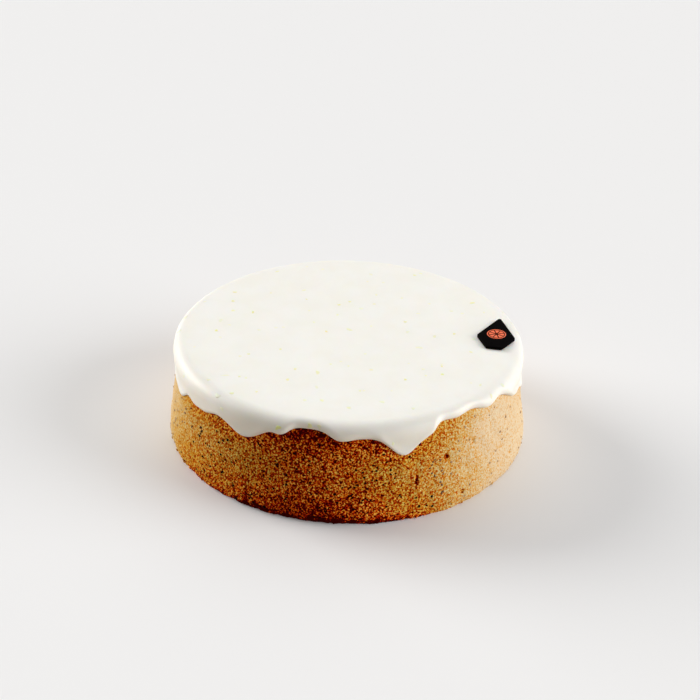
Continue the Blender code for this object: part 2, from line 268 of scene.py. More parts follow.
# The icing, as in its solid.
GAP = 0.3 * MM
ICING_TOP = 3.6 * MM
ICING_SIDE = 1.0 * MM
RIM_REACH = 8.3 * MM
RIM_SQUARENESS = 2.4
RIM_DROOP = 0.5 * MM
DROOP_FROM = -5.0 * MM
DROOP_TO = 3.0 * MM
THIN_FROM = 5.5 * MM
THIN_TO = 15.0 * MM
BEAD_HEIGHT = 0.30 * MM
BEAD_WIDTH = 2.4 * MM
BEAD_FROM = 4.0 * MM
BEAD_FULL = 10.0 * MM
EDGE_ROUNDING = 1.5 * MM
EDGE_ROUNDNESS = 0.85
RIPPLE_DEPTH = 0.12 * MM
RIPPLE_LENGTH = 26.0 * MM
RIM_SHARE = 0.75
SHORTEST_RUN = 3.7 * MM
Drip = namedtuple("Drip", "angle run half_width")
DRIPS = [
    Drip(angle, run * MM, half_width)
    for angle, run, half_width in (
        (-79, 13.2, 18.0), (-68, 4.8, 5.5), (-58.5, 2.6, 3.5), (-52, 8.1, 7.7),
        (-34, 11.4, 9.7), (-20.5, 3.0, 3.0), (-2, 3.5, 4.4), (5, 2.5, 6.0),
        (18.4, 13.0, 6.9), (27.0, 2.2, 3.1), (37.5, 1.2, 4.5), (51.5, 3.0, 5.2),
        (72, 11.0, 10.0), (86, 16.0, 7.5), (102, 6.0, 6.5), (117, 12.5, 8.5),
        (131, 4.5, 5.0), (148, 9.0, 9.0), (166, 14.0, 6.5), (180, 4.5, 7.0),
        (199, 11.0, 8.0), (214, 3.5, 5.5), (231, 13.5, 7.5), (247, 6.5, 7.0),
    )
]

# The grid of the icing's fine skin, and how far inside it starts to turn back up.
ICING_COLUMNS = 720
ICING_TOP_RINGS = 16
ICING_RIM_RINGS = 22
ICING_TONGUE_RINGS = 26
ICING_LINING_RINGS = 6
ICING_SEAT = 0.06 * MM
ICING_EDGE_INSET = 0.05 * MM
ICING_LINING_INSET = 0.4 * MM

# The flecks of lemon zest in the icing.
ZEST_TOP_COUNT = 85
ZEST_SIDE_COUNT = 26
ZEST_RANDOM = 7
ZEST_HALF_LENGTH = 1.0 * MM
ZEST_HALF_WIDTH = 1.15 * MM
ZEST_HALF_THICKNESS = 0.12 * MM
ZEST_BEND = 0.6
ZEST_LENGTH = 1.15
ZEST_LENGTH_SPREAD = 0.40
ZEST_LONGEST = 2.6
ZEST_WIDTHS = (0.6, 1.15)
ZEST_PROUD = 0.045 * MM
ZEST_RIM_SHARE = 0.5
ZEST_FIRST_RUN = 3.0 * MM
ZEST_LEAST_LAST = 4.0 * MM
ZEST_OFF_EDGE = 2.0 * MM
# How far off the icing a fleck's place is looked for, from above and from the side.
CAST_HEIGHT = 0.1
CAST_DISTANCE = 0.05

# The plaque, as in its solid, and the citrus wheel on it.
PLAQUE_PLACE = (72.4 * MM, -1.2 * MM)
PLAQUE_TURN = -9.3
PLAQUE_POINT = 19.6 * MM
PLAQUE_HALF_WIDTH = 9.4 * MM
PLAQUE_FOOT = 10.9 * MM
PLAQUE_FOOT_HALF_WIDTH = 3.9 * MM
PLAQUE_CORNER = 1.0 * MM
PLAQUE_BEVEL = 0.18 * MM
CORNER_POINTS = 8
WHEEL_PLACE = 2.2 * MM
WHEEL_RADIUS = 4.7 * MM
WHEEL_LINE = 0.5 * MM
WHEEL_RIM_POINTS = 64
WHEEL_SEGMENTS = 8
WHEEL_SEGMENT_RADIUS = 3.7 * MM
WHEEL_SEGMENT_GAP = 0.28 * MM
WHEEL_SEGMENT_STEPS = 6
WHEEL_THICKNESS = 0.08 * MM
WHEEL_BEVEL = 0.01 * MM
BEVEL_STEPS = 3
MERGE_DISTANCE = 0.002 * MM
SHARP_ANGLE = 40.0

# The materials: the colours at shares of a noise or of a named value, the lengths and depths of
# their bumps, and the shader's own settings.
SPONGE_BUMP_LENGTH = 0.75 * MM
SPONGE_BUMP_DEPTH = 0.25 * MM
SPONGE_FINISH = {"Roughness": 0.95, "Specular IOR Level": 0.02}

SEED_COLOURS = (
    (0.0, (0.004, 0.0020, 0.0018)),
    (0.3, (0.036, 0.0170, 0.011)),
    (0.7, (0.340, 0.200, 0.125)),
    (1.0, (0.590, 0.395, 0.235)),
)
SEED_BUMP_LENGTH = 0.22 * MM
SEED_BUMP_DEPTH = 0.05 * MM
SEED_FINISH = {"Roughness": 0.75, "Specular IOR Level": 0.02}

ICING_COLOURS = ((0.35, (0.893, 0.878, 0.820)), (0.65, (0.907, 0.897, 0.857)))
ICING_CLOUD_LENGTH = 14.0 * MM
ICING_BUMP_LENGTH = 5.0 * MM
ICING_BUMP_DEPTH = 0.05 * MM
ICING_ROUGHNESS = (0.3, 0.7, 0.44, 0.52)
ICING_FINISH = {
    "Subsurface Weight": 0.35,
    "Subsurface Radius": (1.0, 0.75, 0.5),
    "Subsurface Scale": 2.0 * MM,
    "Specular IOR Level": 0.5,
}

ZEST_COLOURS = (
    (0.0, (0.930, 0.905, 0.73)),
    (0.7, (0.935, 0.892, 0.56)),
    (1.0, (0.935, 0.850, 0.33)),
)
ZEST_FINISH = {"Roughness": 0.4, "Subsurface Weight": 0.3, "Subsurface Scale": 1.0 * MM}

PLAQUE_COLOURS = ((0.3, (0.0015, 0.0012, 0.0014)), (0.7, (0.0030, 0.0024, 0.0026)))
PLAQUE_CLOUD_LENGTH = 3.0 * MM
PLAQUE_BUMP_LENGTH = 0.6 * MM
PLAQUE_BUMP_DEPTH = 0.01 * MM
PLAQUE_ROUGHNESS = (0.3, 0.7, 0.50, 0.62)
PLAQUE_FINISH = {"Specular IOR Level": 0.008}

WHEEL_COLOURS = ((0.3, (0.84, 0.115, 0.030)), (0.7, (0.92, 0.155, 0.045)))
WHEEL_CLOUD_LENGTH = 1.2 * MM
WHEEL_FINISH = {"Roughness": 0.5}

# The camera: ten cake radii away, looking down at the photograph's angle.
CAMERA_DISTANCE = 890.0 * MM
CAMERA_ELEVATION = 32.0
CAMERA_LENS = 90.1
CAMERA_AIM = (0.75 * MM, 0.0, 43.0 * MM)
CAMERA_ROLL = 1.5
CAMERA_CLIP = (0.05, 20.0)

# The light: soft suns, at compass angles counted from the front, and a pale sky.
Sun = namedtuple("Sun", "name angle elevation strength softness colour")
SUNS = (
    Sun("right", 80.0, 18.0, 2.97, 45.0, (1.0, 0.99, 0.97)),
    Sun("left", -117.0, 21.0, 3.17, 36.0, (1.0, 0.98, 0.94)),
    Sun("back", 165.0, 50.0, 0.90, 60.0, (1.0, 1.0, 1.0)),
)
SKY_COLOUR = (1.0, 0.99, 0.97)
SKY_STRENGTH = 0.15

# The floor, and the light that it throws up at the cake.
FLOOR_SIZE = 6.0
FLOOR_DROP = 0.1 * MM
FLOOR_BOUNCE = (0.52, 0.43, 0.33)
FLOOR_FINISH = {
    "Base Color": (0.74, 0.74, 0.75, 1.0),
    "Roughness": 0.8,
    "Specular IOR Level": 0.2,
    "Emission Color": (1.0, 1.0, 1.0, 1.0),
    "Emission Strength": 0.11,
}

# The sponge's section: its flat top, an arc over the shoulder, and a leaning side to the foot.
SIDE_LEAN = math.atan(SPONGE_TAPER)
ARC_HEIGHT = SPONGE_HEIGHT - SHOULDER_RADIUS
ARC_END_HEIGHT = ARC_HEIGHT + SHOULDER_RADIUS * math.sin(SIDE_LEAN)
ARC_END_RADIUS = SPONGE_RADIUS - SPONGE_TAPER * (ARC_END_HEIGHT - FOOT_HEIGHT)
FLAT_RADIUS = ARC_END_RADIUS - SHOULDER_RADIUS * math.cos(SIDE_LEAN)
ARC_LENGTH = SHOULDER_RADIUS * (QUARTER - SIDE_LEAN)
FOOT_RUN = ARC_LENGTH + (ARC_END_HEIGHT - FOOT_HEIGHT) / math.cos(SIDE_LEAN)


# --- The forms, by the same rules as the solids ---


def smooth_step(value, low, high):
    share = min(1.0, max(0.0, (value - low) / (high - low)))
    return share * share * (3.0 - 2.0 * share)


def turn_from(degrees, centre):
    """How far an angle is from another round the cake, in degrees, from -180 to 180."""
    return (degrees - centre + 180.0) % 360.0 - 180.0


def bell(distances, half_width):
    """1 in the middle of a soft hill, and 1 / e at its half width."""
    return np.exp(-((distances / half_width) ** 2))


def swell(angle, height):
    """The broad unevenness of the baked side, which grows in over the rounded top edge."""
    spot = Vector((math.sin(angle), -math.cos(angle), 0.0)) * SPONGE_RADIUS
    spot.z = height
    depth = SWELL_DEPTH * smooth_step(SPONGE_HEIGHT - height, 0.0, SHOULDER_RADIUS)
    return depth * noise.noise(spot / SWELL_LENGTH)


def meridian(run, lift):
    """Radius and height at a run past the flat top, raised by a lift square to the surface."""
    if run <= 0.0:
        return FLAT_RADIUS + run, SPONGE_HEIGHT + lift
    if run <= ARC_LENGTH:
        rise = QUARTER - run / SHOULDER_RADIUS
        reach = SHOULDER_RADIUS + lift
        return FLAT_RADIUS + reach * math.cos(rise), ARC_HEIGHT + reach * math.sin(rise)
    down = run - ARC_LENGTH
    radius = ARC_END_RADIUS + down * math.sin(SIDE_LEAN) + lift * math.cos(SIDE_LEAN)
    height = ARC_END_HEIGHT - down * math.cos(SIDE_LEAN) + lift * math.sin(SIDE_LEAN)
    return radius, height


def surface_point(angle, run, lift):
    """A point over the uneven sponge, at a run past the flat top and a lift off the surface."""
    _, height = meridian(run, 0.0)
    radius, height = meridian(run, lift + swell(angle, height))
    return Vector((radius * math.sin(angle), -radius * math.cos(angle), height))


def icing_run(angle):
    """How far the icing's edge runs down past the flat top, at an angle round the cake."""
    run = SHORTEST_RUN
    for drip in DRIPS:
        away = turn_from(math.degrees(angle), drip.angle)
        run += drip.run * math.exp(-((away / drip.half_width) ** 2))
    return run


def lowest_edge_nearby(angle):
    """The height of the icing's lowest edge within a step of the solid's faces."""
    step = TURN / SOLID_STEPS_ROUND
    nearby = (angle + step * share for share in EDGE_STEPS)
    return min(surface_point(near, icing_run(near), 0.0).z for near in nearby)


def icing_thickness(run, edge_run):
    """The icing's thickness: a full rim that turns as a squared oval, then thin to a round edge."""
    thickness = ICING_TOP
    if run > 0.0:
        turn = min(run, ARC_LENGTH) / SHOULDER_RADIUS
        across = (math.sin(turn) / RIM_REACH) ** RIM_SQUARENESS
        up = (math.cos(turn) / (SHOULDER_RADIUS + GAP + ICING_TOP)) ** RIM_SQUARENESS
        thickness = (across + up) ** (-1.0 / RIM_SQUARENESS) - SHOULDER_RADIUS - GAP
        thickness += (ICING_SIDE - thickness) * smooth_step(run, THIN_FROM, THIN_TO)
    thickness -= RIM_DROOP * smooth_step(run, DROOP_FROM, DROOP_TO)
    bead = BEAD_HEIGHT * smooth_step(edge_run, BEAD_FROM, BEAD_FULL)
    thickness += bead * math.exp(-(((edge_run - EDGE_ROUNDING - run) / BEAD_WIDTH) ** 2))
    rounding = max(EDGE_ROUNDING, EDGE_ROUNDNESS * thickness)
    past = (run - (edge_run - rounding)) / rounding
    if past > 0.0:
        thickness *= math.sqrt(max(0.0, 1.0 - past * past))
    return thickness


def icing_outside(angle, run, edge_run):
    """A point on the icing's outside, with the faint ripple of its set surface."""
    thickness = icing_thickness(run, edge_run)
    point = surface_point(angle, run, GAP + thickness)
    ripple = RIPPLE_DEPTH * noise.noise(point / RIPPLE_LENGTH)
    point.z += ripple * min(1.0, thickness / ICING_SIDE)
    return point


# --- Mesh helpers ---


def add_object(name, mesh, finish):
    """An object of the cake, which rides on its one body and has a finish and a material slot."""
    made = bpy.data.objects.new(name, mesh)
    bpy.context.scene.collection.objects.link(made)
    mesh.materials.clear()
    mesh.materials.append(finish)
    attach(made, "root")
    return made


def loft_round(name, columns, top, bottom):
    """A closed skin through columns of points that run down the outside, round the cake."""
    count, rows = len(columns), len(columns[0])
    points = [point for column in columns for point in column] + [top, bottom]
    top_index, bottom_index = count * rows, count * rows + 1
    faces = []
    for column in range(count):
        here = column * rows
        after = (column + 1) % count * rows
        faces.append((top_index, here, after))
        faces.append((bottom_index, after + rows - 1, here + rows - 1))
        for row in range(rows - 1):
            faces.append((here + row, here + row + 1, after + row + 1, after + row))
    mesh = bpy.data.meshes.new(name)
    mesh.from_pydata(points, [], faces)
    mesh.shade_smooth()
    return mesh


def set_values(mesh, name, values):
    """Keeps one number for each point, which the materials read by name."""
    layer = mesh.attributes.new(name, "FLOAT", "POINT")
    layer.data.foreach_set("value", np.asarray(values, np.float32))


def ring_points(angles, radii, heights):
    """Points round the cake, a row of X, Y and Z for each."""
    return np.column_stack([np.sin(angles) * radii, -np.cos(angles) * radii, heights])


def noise_at(points, wave):
    """A noise's value at each of many points, about -1 to 1."""
    return np.array([noise.noise(Vector(point)) for point in points / wave.length + wave.shift])


def joined_mesh(name, shape, placements):
    """One mesh with a copy of the shape at each placement, and each copy's number from 0 to 1."""
    draw = random.Random(len(placements))
    corners = np.array([(*vertex.co, 1.0) for vertex in shape.vertices])
    faces = np.array([tuple(face.vertices) for face in shape.polygons])
    points, all_faces, tints = [], [], []
    for number, placement in enumerate(placements):
        points.append((corners @ np.array(placement).T)[:, :3])
        all_faces.append(faces + number * len(corners))
        tints += [draw.random()] * len(corners)
    mesh = bpy.data.meshes.new(name)
    mesh.from_pydata(np.concatenate(points).tolist(), [], np.concatenate(all_faces).tolist())
    mesh.shade_smooth()
    set_values(mesh, "tint", tints)
    return mesh


def grain_shape(name, half_sizes, bend=0.0, lumps=0.0, lump_length=1.0):
    """A small rounded body, bent in its plane or lumpy if asked."""
    shape = bmesh.new()
    bmesh.ops.create_icosphere(shape, subdivisions=GRAIN_SUBDIVISIONS, radius=1.0)
    for vertex in shape.verts:
        swollen = 1.0 + lumps * noise.noise(vertex.co / lump_length)
        spot = vertex.co * swollen
        spot.y += bend * (spot.x * spot.x - 0.5)
        vertex.co = [part * half for part, half in zip(spot, half_sizes)]
    mesh = bpy.data.meshes.new(name)
    shape.to_mesh(mesh)
    shape.free()
    return mesh


def cast(target, start, direction):
    """Where a straight line first meets an object, and the surface's normal there."""
    _, spot, normal, _ = target.ray_cast(start, direction)
    return spot, normal


def lying_on(normal, spin):
    """A turn that lays a shape's XY plane on a surface, spun about the normal."""
    return normal.to_track_quat("Z", "Y").to_matrix().to_4x4() @ Matrix.Rotation(spin, 4, "Z")


# --- Material helpers ---


def new_material(name):
    made = bpy.data.materials.new(name)
    made.use_nodes = True
    return made, made.node_tree, made.node_tree.nodes["Principled BSDF"]


def set_finish(shader, finish):
    """Sets the shader's own sockets from a table of their names and values."""
    for name, value in finish.items():
        shader.inputs[name].default_value = value


def noise_node(tree, length, detail):
    """A three-dimensional noise of one wave length in metres, in the cake's own space."""
    place = tree.nodes.new("ShaderNodeTexCoord")
    made = tree.nodes.new("ShaderNodeTexNoise")
    made.inputs["Scale"].default_value = 1.0 / length
    made.inputs["Detail"].default_value = detail
    made.inputs["Roughness"].default_value = NOISE_ROUGHNESS
    tree.links.new(place.outputs["Object"], made.inputs["Vector"])
    return made.outputs["Fac"]


def cell_node(tree, length):
    """How far a place is from the middle of its granule, in a foam of one cell size."""
    place = tree.nodes.new("ShaderNodeTexCoord")
    made = tree.nodes.new("ShaderNodeTexVoronoi")
    made.inputs["Scale"].default_value = 1.0 / length
    tree.links.new(place.outputs["Object"], made.inputs["Vector"])
    return made.outputs["Distance"]


def value_node(tree, name):
    """The number that the mesh keeps by this name for each point."""
    made = tree.nodes.new("ShaderNodeAttribute")
    made.attribute_name = name
    return made.outputs["Fac"]


def ramp_node(tree, factor, stops):
    """Colours that blend between stops at shares of a factor."""
    made = tree.nodes.new("ShaderNodeValToRGB")
    points = made.color_ramp.elements
    while len(points) < len(stops):
        points.new(0.5)
    for point, (share, colour) in zip(points, stops):
        point.position = share
        point.color = (*colour, 1.0)
    tree.links.new(factor, made.inputs["Fac"])
    return made.outputs["Color"]


def range_node(tree, factor, low, high, to_low=0.0, to_high=1.0):
    """A value's range turned into another, and held at its ends."""
    made = tree.nodes.new("ShaderNodeMapRange")
    made.inputs["From Min"].default_value = low
    made.inputs["From Max"].default_value = high
    made.inputs["To Min"].default_value = to_low
    made.inputs["To Max"].default_value = to_high
    tree.links.new(factor, made.inputs["Value"])
    return made.outputs["Result"]


def math_node(tree, operation, first, second):
    """A sum or product of two values, of which the second may be a plain number."""
    made = tree.nodes.new("ShaderNodeMath")
    made.operation = operation
    tree.links.new(first, made.inputs[0])
    if isinstance(second, bpy.types.NodeSocket):
        tree.links.new(second, made.inputs[1])
    else:
        made.inputs[1].default_value = second
    return made.outputs["Value"]


def product_node(tree, first, second):
    """Two colours multiplied."""
    made = tree.nodes.new("ShaderNodeMix")
    made.data_type = "RGBA"
    made.blend_type = "MULTIPLY"
    made.inputs["Factor"].default_value = 1.0
    tree.links.new(first, made.inputs[6])
    tree.links.new(second, made.inputs[7])
    return made.outputs[2]


def bump_node(tree, height, distance, strength=1.0):
    """A normal for relief of one depth in metres, of which the strength may vary by place."""
    made = tree.nodes.new("ShaderNodeBump")
    if isinstance(strength, bpy.types.NodeSocket):
        tree.links.new(strength, made.inputs["Strength"])
    else:
        made.inputs["Strength"].default_value = strength
    made.inputs["Distance"].default_value = distance
    tree.links.new(height, made.inputs["Height"])
    return made.outputs["Normal"]


# --- Materials ---


def grain_depth(tree):
    """How low a place lies in the grain: granules and a net of ridges, and painted shade in the
    side's hollows.
    """
    granules = range_node(tree, cell_node(tree, GRANULE_LENGTH), *GRANULE_RANGE)
    net = noise_node(tree, NET_LENGTH, detail=1.0)
    away = math_node(tree, "SUBTRACT", net, NOISE_MIDDLE)
    net = range_node(tree, math_node(tree, "ABSOLUTE", away, 0.0), *NET_RANGE)
    ridge = math_node(tree, "ADD", net, granules)
    depth = math_node(tree, "MULTIPLY", ridge, -GRAIN_BROWNING)
    hollow = math_node(tree, "MULTIPLY", value_node(tree, "hollow"), HOLLOW_SHADE)
    return math_node(tree, "ADD", depth, hollow)


def grain_spread(tree, browning):
    """How strongly the grain shows: more where the crust is browner or carries more painted shade.
    """
    spread = range_node(tree, browning, 0.0, GOLDEN_AT, PALE_SPREAD, GOLDEN_SPREAD)
    more = range_node(tree, browning, GOLDEN_AT, BROWN_AT, 0.0, BROWN_SPREAD - GOLDEN_SPREAD)
    spread = math_node(tree, "ADD", spread, more)
    return math_node(tree, "MULTIPLY", spread, value_node(tree, "coarseness"))


def golden_shade(tree, browning, depth):
    """Painted shade in the hollows of the golden crust, where their colour alone is too light."""
    shade = range_node(tree, browning, PALE_AT, GOLDEN_AT, 0.0, PORE_SHADE)
    fading = range_node(tree, browning, GOLDEN_AT, BROWN_AT, 1.0, 0.0)
    low = range_node(tree, depth, 0.0, GRAIN_BROWNING)
    shade = math_node(tree, "MULTIPLY", math_node(tree, "MULTIPLY", shade, fading), low)
    return range_node(tree, shade, 0.0, 1.0, 1.0, 0.0)


def sponge_material():
    """Baked crumb in browns, with painted shade in its pores, pits and grain hollows."""
    made, tree, shader = new_material("crumb")
    browning = value_node(tree, "browning")
    depth = grain_depth(tree)
    spread = grain_spread(tree, browning)
    level = math_node(tree, "ADD", browning, math_node(tree, "MULTIPLY", depth, spread))
    pores = noise_node(tree, FINE_PORE_LENGTH, detail=1.0)
    pores = range_node(tree, pores, *FINE_PORE_RANGE)
    level = math_node(tree, "ADD", level, math_node(tree, "MULTIPLY", pores, spread))
    share = range_node(tree, level, BROWNING_LOW, BROWNING_HIGH)
    width = BROWNING_HIGH - BROWNING_LOW
    stops = [((crust_level - BROWNING_LOW) / width, colour) for crust_level, colour in CRUST]
    tint = ramp_node(tree, browning, TINTS)
    colour = product_node(tree, ramp_node(tree, share, stops), tint)
    colour = product_node(tree, colour, golden_shade(tree, browning, depth))
    tree.links.new(colour, shader.inputs["Base Color"])
    grain = noise_node(tree, SPONGE_BUMP_LENGTH, detail=1.5)
    strength = range_node(tree, browning, 0.0, FULL_RELIEF_AT, PALE_RELIEF, 1.0)
    bump = bump_node(tree, grain, SPONGE_BUMP_DEPTH, strength)
    tree.links.new(bump, shader.inputs["Normal"])
    set_finish(shader, SPONGE_FINISH)
    return made


def seed_material():
    """Dull blue-black seed coat, greyed to brown where crumb dusts it."""
    made, tree, shader = new_material("poppy_seed")
    colour = ramp_node(tree, value_node(tree, "dust"), SEED_COLOURS)
    tree.links.new(colour, shader.inputs["Base Color"])
    rough = noise_node(tree, SEED_BUMP_LENGTH, detail=1.0)
    tree.links.new(bump_node(tree, rough, SEED_BUMP_DEPTH), shader.inputs["Normal"])
    set_finish(shader, SEED_FINISH)
    return made


def icing_material():
    """Set sugar icing: smooth, off-white and a little see-through, with a soft gloss."""
    made, tree, shader = new_material("glaze")
    cloud = noise_node(tree, ICING_CLOUD_LENGTH, detail=3.0)
    tree.links.new(ramp_node(tree, cloud, ICING_COLOURS), shader.inputs["Base Color"])
    wave = noise_node(tree, ICING_BUMP_LENGTH, detail=2.0)
    tree.links.new(bump_node(tree, wave, ICING_BUMP_DEPTH), shader.inputs["Normal"])
    tree.links.new(range_node(tree, cloud, *ICING_ROUGHNESS), shader.inputs["Roughness"])
    set_finish(shader, ICING_FINISH)
    return made


def zest_material():
    """Grated peel, each fleck its own yellow."""
    made, tree, shader = new_material("lemon_zest")
    colour = ramp_node(tree, value_node(tree, "tint"), ZEST_COLOURS)
    tree.links.new(colour, shader.inputs["Base Color"])
    set_finish(shader, ZEST_FINISH)
    return made


def plaque_material():
    """Near-black chocolate with hardly any gloss."""
    made, tree, shader = new_material("dark_chocolate")
    cloud = noise_node(tree, PLAQUE_CLOUD_LENGTH, detail=3.0)
    tree.links.new(ramp_node(tree, cloud, PLAQUE_COLOURS), shader.inputs["Base Color"])
    fine = noise_node(tree, PLAQUE_BUMP_LENGTH, detail=2.0)
    tree.links.new(bump_node(tree, fine, PLAQUE_BUMP_DEPTH), shader.inputs["Normal"])
    tree.links.new(range_node(tree, cloud, *PLAQUE_ROUGHNESS), shader.inputs["Roughness"])
    set_finish(shader, PLAQUE_FINISH)
    return made


def wheel_material():
    """Coral print, a little uneven."""
    made, tree, shader = new_material("coral_print")
    cloud = noise_node(tree, WHEEL_CLOUD_LENGTH, detail=2.0)
    tree.links.new(ramp_node(tree, cloud, WHEEL_COLOURS), shader.inputs["Base Color"])
    set_finish(shader, WHEEL_FINISH)
    return made


def floor_material():
    """A pale table that throws an even light up at the cake from all round."""
    made, tree, shader = new_material("pale_floor")
    set_finish(shader, FLOOR_FINISH)
    made.cycles.emission_sampling = "NONE"
    bounce = tree.nodes.new("ShaderNodeEmission")
    bounce.inputs["Color"].default_value = (*FLOOR_BOUNCE, 1.0)
    path = tree.nodes.new("ShaderNodeLightPath")
    either = tree.nodes.new("ShaderNodeMixShader")
    tree.links.new(path.outputs["Is Diffuse Ray"], either.inputs["Fac"])
    tree.links.new(shader.outputs["BSDF"], either.inputs[1])
    tree.links.new(bounce.outputs["Emission"], either.inputs[2])
    tree.links.new(either.outputs["Shader"], tree.nodes["Material Output"].inputs["Surface"])
    return made


# --- The sponge ---


def sponge_rows(angle):
    """Radius and height down the plain side: a little under the icing, then finely to the base."""
    start = max(SPONGE_FIRST_RUN, icing_run(angle) - UNDER_ICING)
    runs = [0.0, start / 2.0]
    runs += list(np.linspace(start, FOOT_RUN, SPONGE_SIDE_ROWS))
    rows = [meridian(run, 0.0) for run in runs]
    for step in range(1, SPONGE_FOOT_ROWS + 1):
        tuck = QUARTER * step / SPONGE_FOOT_ROWS
        radius = SPONGE_RADIUS - FOOT_TUCK * (1.0 - math.cos(tuck))
        rows.append((radius, FOOT_HEIGHT * (1.0 - math.sin(tuck))))
    return rows


def all_pits():
    """The pits that the front shows, and smaller ones like them all round."""
    draw = random.Random(PIT_RANDOM)
    pits = list(SHOWN_PITS)
    while len(pits) < PIT_COUNT:
        angle = draw.uniform(-180.0, 180.0)
        sizes = [draw.uniform(*limits) * MM for limits in RANDOM_PIT_SIZES]
        pits.append(Pit(angle, *sizes, RANDOM_PIT_SHADE))
    return pits


def pit_depths(angles, heights):
    """How deep the large pits are at each point of the side, and how much painted shade darkens
    them.
    """
    depths = np.zeros(len(angles))
    pit_darkness = np.zeros(len(angles))
    for pit in all_pits():
        away = turn_from(np.degrees(angles), pit.angle)
        across = np.radians(away) * SPONGE_RADIUS / pit.width
        up = (heights - pit.height) / pit.tall
        form = np.exp(-(across**2 + up**2) ** PIT_STEEPNESS)
        depths += pit.depth * form
        pit_darkness += pit.browning * np.clip(form * pit.depth / PIT_FULL_DEPTH, 0.0, 1.0)
    return depths, pit_darkness


def pore_depths(points):
    """Small open bubbles of uneven size, one in each cell of a loose foam."""
    depths = []
    for point in points / PORE_LENGTH:
        distances, centres = noise.voronoi(Vector(point))
        chance = 0.5 + 0.5 * noise.cell(centres[0] * PORE_CHANCE_SCALE)
        depth = 0.0
        if chance < PORE_SHARE:
            size = PORE_LEAST_SIZE + PORE_SIZE_SPREAD * chance
            depth = 1.0 - smooth_step(distances[0], size * PORE_FLOOR, size)
        depths.append(depth)
    return np.array(depths)


def sponge_grid():
    """The plain skin's angles, radii and heights, and how far each point is below the icing."""
    rows = []
    for column in range(SPONGE_COLUMNS):
        angle = TURN * column / SPONGE_COLUMNS
        edge = lowest_edge_nearby(angle)
        for radius, height in sponge_rows(angle):
            bare = smooth_step(edge - height, 0.0, CRUMB_FADE)
            rows.append((angle, radius, height, bare, max(0.0, edge - height)))
    return np.array(rows).T


def make_sponge():
    """The sponge's fine skin: the solid's form, with the grain, pores and pits of crumb from the
    oven.
    """
    angles, radii, heights, bare, below = sponge_grid()
    plain = ring_points(angles, radii, heights)
    coarse = noise_at(plain, CRUMB_NOISE)
    grain = (1.0 - FINE_GRAIN_SHARE) * noise_at(plain, GRAIN_NOISE)
    grain += FINE_GRAIN_SHARE * noise_at(plain, FINE_GRAIN_NOISE)
    pores = pore_depths(plain)
    pits, pit_shade = pit_depths(angles, heights)
    low = np.clip(1.0 - heights / RAGGED_HEIGHT, 0.0, 1.0)
    ragged = noise_at(plain, RAGGED_NOISE) * low
    swells = np.array([swell(angle, height) for angle, height in zip(angles, heights)])

    level = browning(angles, heights, plain, below)
    # Painted shade inside the pits.
    level += pit_shade * bare
    coarse_grained = coarseness(angles)
    strength = np.clip(level / FULL_RELIEF_AT, 0.0, 1.0)
    strength = (PALE_RELIEF + (1.0 - PALE_RELIEF) * strength) * coarse_grained
    relief = CRUMB_DEPTH * coarse * bare
    grain_share = GRAIN_UNDER_ICING + (1.0 - GRAIN_UNDER_ICING) * bare
    relief += GRAIN_DEPTH * grain * strength * grain_share
    relief -= (PORE_DEPTH * pores * strength + pits) * bare
    relief += RAGGED_DEPTH * ragged
    on_side = radii > FLAT_RADIUS + RELIEF_FROM
    spots = ring_points(angles, radii + np.where(on_side, swells + relief, 0.0), heights)

    # Painted shade in the side's grain, pores and pits, kept for each point.
    hollow = np.clip(-GRAIN_HOLLOW * grain, 0.0, 1.0) + pores + pits / PIT_FULL_DEPTH
    columns = [column.tolist() for column in np.split(spots, SPONGE_COLUMNS)]
    mesh = loft_round("sponge_crumb", columns, (0.0, 0.0, SPONGE_HEIGHT), (0.0, 0.0, 0.0))
    set_values(mesh, "hollow", [*np.clip(hollow * bare, 0.0, 1.0), 0.0, 0.0])
    # This level carries painted shade and painted light as well as the browning.
    set_values(mesh, "browning", [*level, CROWN_BROWNING, BASE_BROWNING])
    set_values(mesh, "coarseness", [*coarse_grained, 1.0, 1.0])
    made = add_object("sponge_crumb", mesh, sponge_material())
    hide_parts("sponge")
    return made


def coarseness(angles):
    """How strong the crumb's grain is at angles round the cake, from 0 to 1."""
    away = turn_from(np.degrees(angles), FINE_ANGLE)
    return 1.0 - (1.0 - FINE_LEAST) * bell(away, FINE_HALF_WIDTH)


def browning_and_shade_by_angle(angles):
    """How brown the crust is, with painted light and shade, by the angle round the cake alone."""
    # Partly real browning, partly painted shade on the front, away from the lights, and painted
    # light on the lit right side.
    level = PALE_BROWNING
    for spot in BROWNING_AND_SHADE_SPOTS:
        away = turn_from(np.degrees(angles), spot.angle)
        level = level + spot.browning * bell(away, spot.half_width)
    return level


